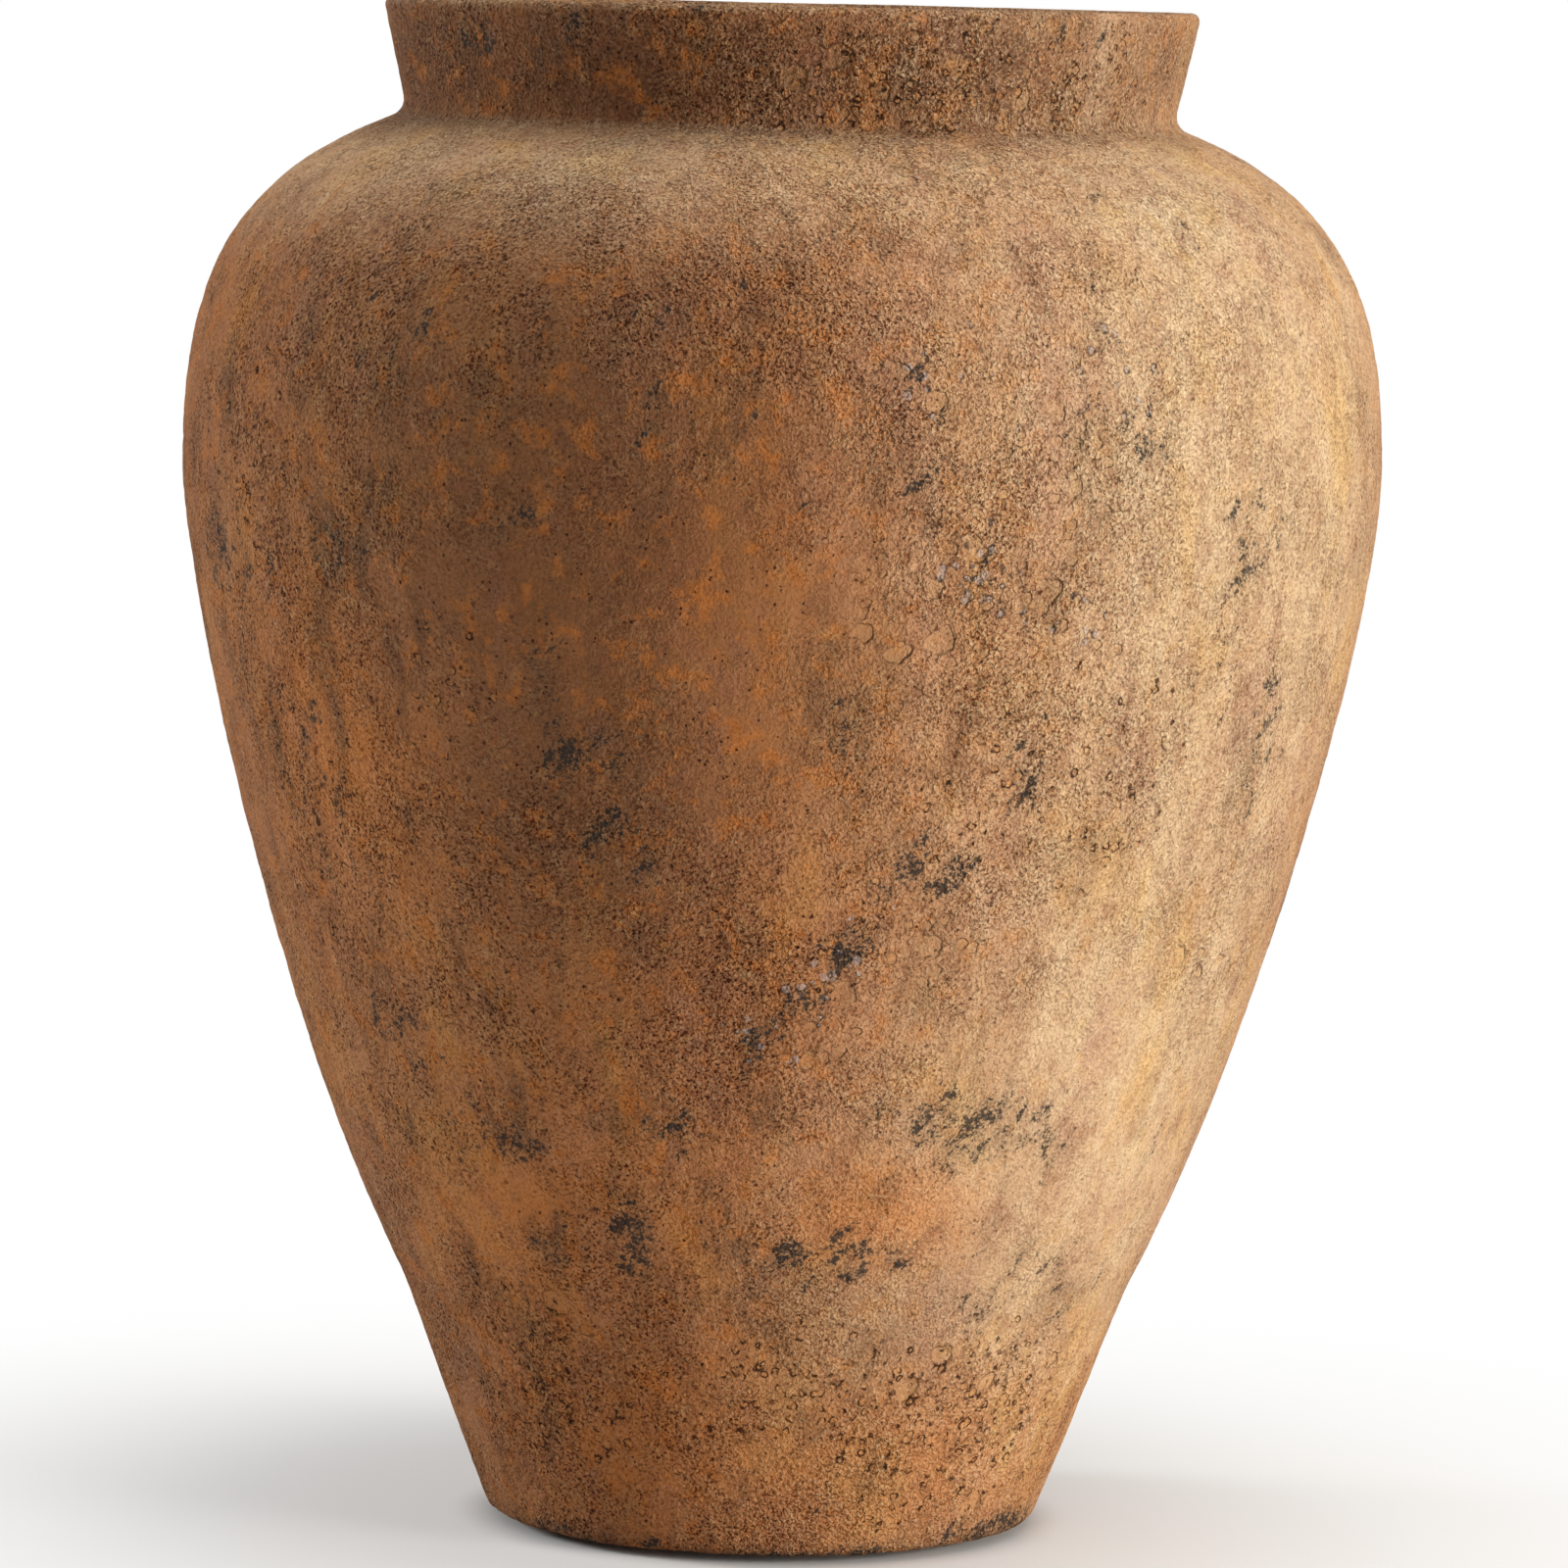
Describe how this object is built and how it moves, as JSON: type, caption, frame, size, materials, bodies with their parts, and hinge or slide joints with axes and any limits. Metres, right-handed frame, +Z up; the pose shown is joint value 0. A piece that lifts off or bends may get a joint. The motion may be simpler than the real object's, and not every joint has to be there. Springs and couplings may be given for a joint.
{
  "type": "vase",
  "caption": "Wide-shouldered weathered terracotta jar vase with a short flared neck, built from lapped thrown rings on a floor slab, sealed inside, standing on felt pads.",
  "frame": {"origin": "on the table, in the middle under the foot, at the level of the felt pads' undersides", "axes": "+Z up along the vase's turning axis; -Y towards the viewer of the picture, +X to the viewer's right"},
  "size_m": [0.3772, 0.3772, 0.478],
  "materials": {
    "terracotta": "unglazed fired clay, pitted, blistered and soot-stained",
    "inner_glaze": "satin brown sealing glaze",
    "felt": "pressed wool felt"
  },
  "bodies": {
    "root": {"floor_disc": "terracotta", "foot_wall": "terracotta", "waist_wall": "terracotta", "belly_wall": "terracotta", "shoulder_wall": "terracotta", "neck_collar": "terracotta", "rim_lip": "terracotta", "inner_glaze": "inner_glaze", "felt_pad_1": "felt", "felt_pad_2": "felt", "felt_pad_3": "felt", "felt_pad_4": "felt"}
  },
  "joints": []
}
